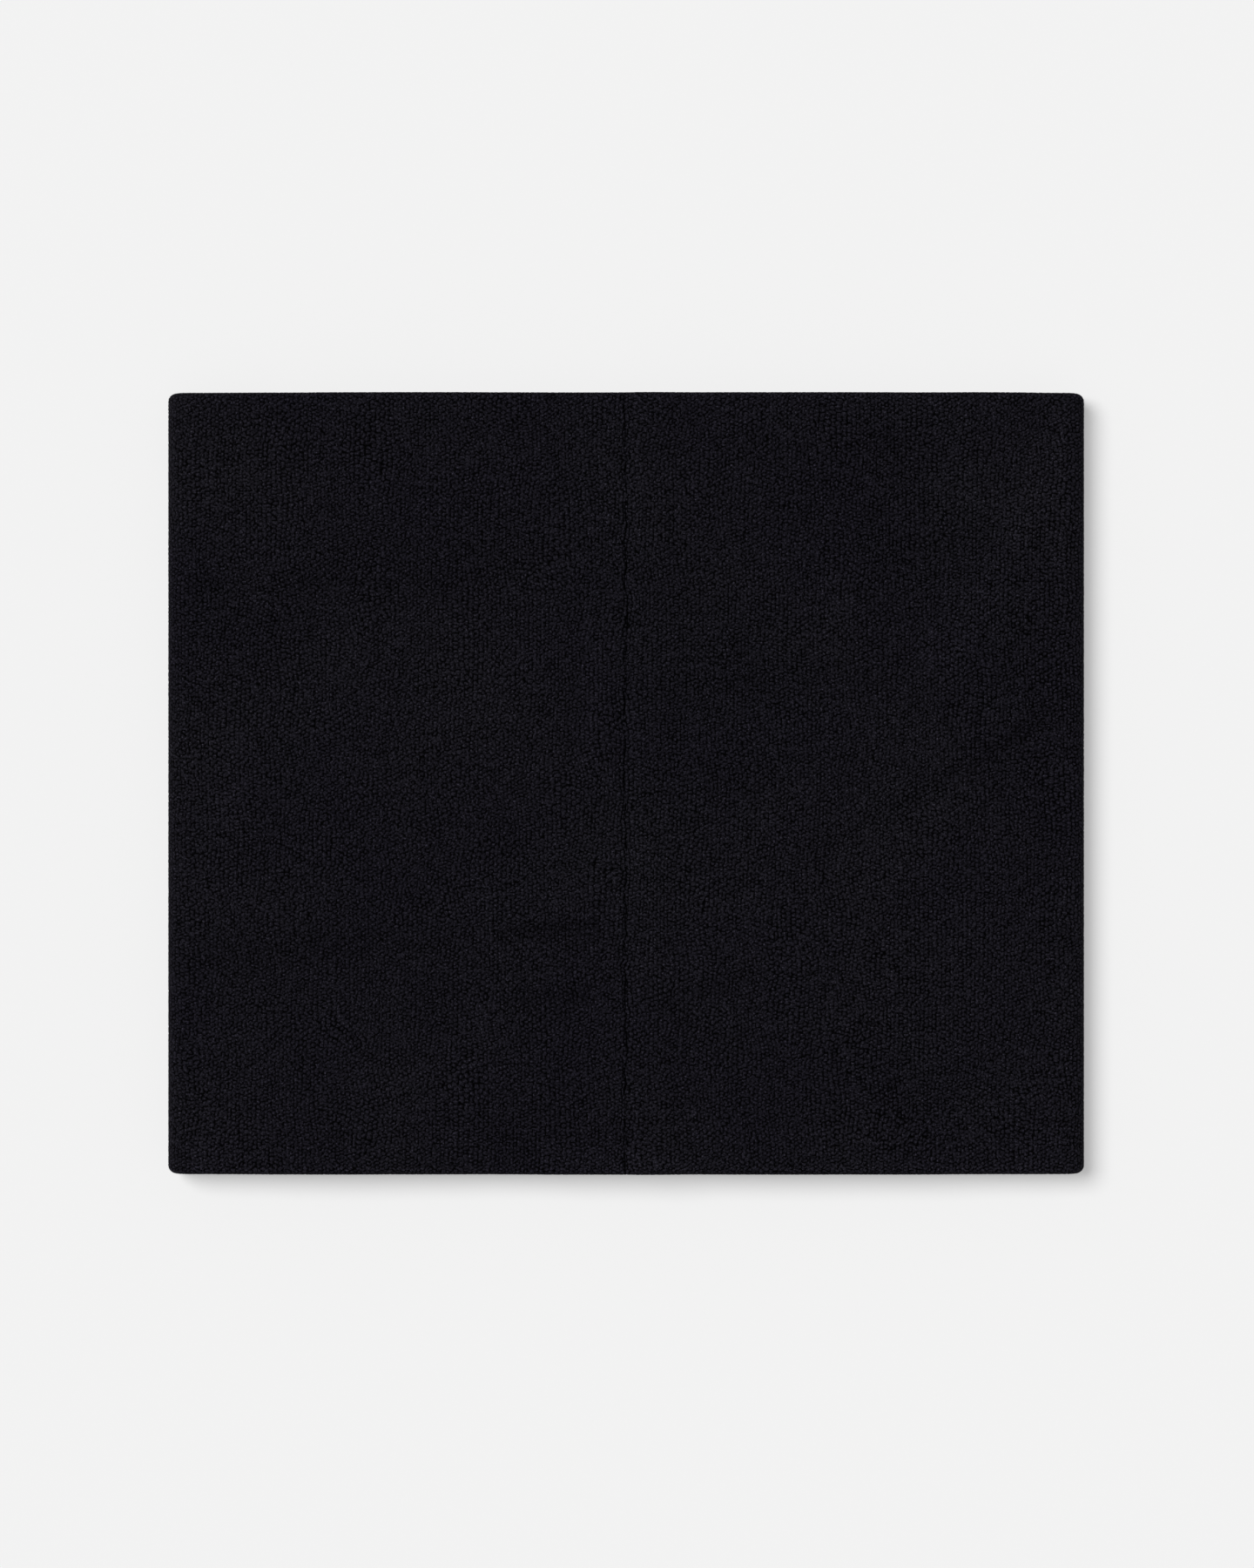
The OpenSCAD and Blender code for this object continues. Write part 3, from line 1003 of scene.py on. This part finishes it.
PALE = 0.892                            # how bright the lit table and what is behind it look
TABLE_GLOW = 0.40                       # of that, what shines up through the table
AMBIENT = 0.08                          # light from all round
TABLE_GREY = 0.9                        # share of light that the table's surface returns
KEY_FROM = Vector((-0.55, 0.32, 1.0)).normalized()
KEY_POWER = ((PALE - TABLE_GLOW) / TABLE_GREY - AMBIENT) * math.pi / KEY_FROM.z
KEY_WIDTH = math.radians(33)
FLOOR_HALF = 40.0
PICTURE_W, PICTURE_H = 1440, 1800
WIDTH_SHARE = 0.7299                    # how much of the picture's width the gaiter takes
OFF_LEFT = 0.26 * MM                    # how far the gaiter lies to the left of the picture's centre
OFF_UP = 0.155 * MM                     # and how far above it


def grey(value):
    return rgb(value, value, value)


def floor_material():
    g = Graph("floor")
    grain = g.noise(g.node("ShaderNodeTexCoord").outputs["Object"], scale=900.0, detail=2.0)
    return g.shade(
        Base_Color=g.mix(g.vary(grain, 0, 1), grey(TABLE_GREY - 0.005), grey(TABLE_GREY)),
        Roughness=0.95,
        Specular_IOR_Level=0.0,
        Emission_Color=grey(1.0),
        Emission_Strength=TABLE_GLOW,
    )


def floor(low_z):
    mesh = bpy.data.meshes.new("floor")
    signs = ((-1, -1), (1, -1), (1, 1), (-1, 1))
    corners = [(x * FLOOR_HALF, y * FLOOR_HALF, low_z) for x, y in signs]
    mesh.from_pydata(corners, [], [(0, 1, 2, 3)])
    obj = bpy.data.objects.new("floor", mesh)
    obj.data.materials.append(floor_material())
    bpy.context.scene.collection.objects.link(obj)
    obj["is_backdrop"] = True


def lights():
    sun = bpy.data.lights.new("key", "SUN")
    sun.energy = KEY_POWER
    sun.angle = KEY_WIDTH
    key = bpy.data.objects.new("key", sun)
    key.rotation_euler = KEY_FROM.to_track_quat("Z", "Y").to_euler()
    bpy.context.scene.collection.objects.link(key)
    world = bpy.data.worlds.new("soft_box")
    bpy.context.scene.world = world
    world.use_nodes = True
    tree = world.node_tree
    background = tree.nodes["Background"]
    background.inputs["Color"].default_value = grey(1.0)
    seen = tree.nodes.new("ShaderNodeLightPath")
    strength = tree.nodes.new("ShaderNodeMapRange")
    strength.inputs["To Min"].default_value = AMBIENT
    strength.inputs["To Max"].default_value = PALE
    tree.links.new(seen.outputs["Is Camera Ray"], strength.inputs["Value"])
    tree.links.new(strength.outputs["Result"], background.inputs["Strength"])


def camera():
    data = bpy.data.cameras.new("camera")
    data.lens = 100
    data.sensor_width = 36
    obj = bpy.data.objects.new("camera", data)
    frame_h = FLAT_W / WIDTH_SHARE * PICTURE_H / PICTURE_W
    distance = frame_h * data.lens / data.sensor_width
    obj.location = (OFF_LEFT, -OFF_UP, MID_Z + distance)
    bpy.context.scene.collection.objects.link(obj)
    bpy.context.scene.camera = obj


thread = thread_material()
cloth_pieces("shell", shell_section(FINE), pile_material())
cloth_pieces("lining", lining_section(LINING_GRID), lining_material())
rim_thread_pieces(thread)
seam_thread("shell_seam_thread", SHELL_OUT - SHELL_CREASE + 0.5 * THREAD_R, 2 * LINING_END, thread)
seam_thread("lining_seam_thread", LINING_IN + LINING_CREASE - 0.5 * THREAD_R, 2 * LINING_END, thread)
turning_gap_stitches(thread)
care_label(label_material())
lights()
camera()
floor(min(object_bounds()[0][2], LOW.z))
bpy.context.scene.view_settings.view_transform = "Standard"
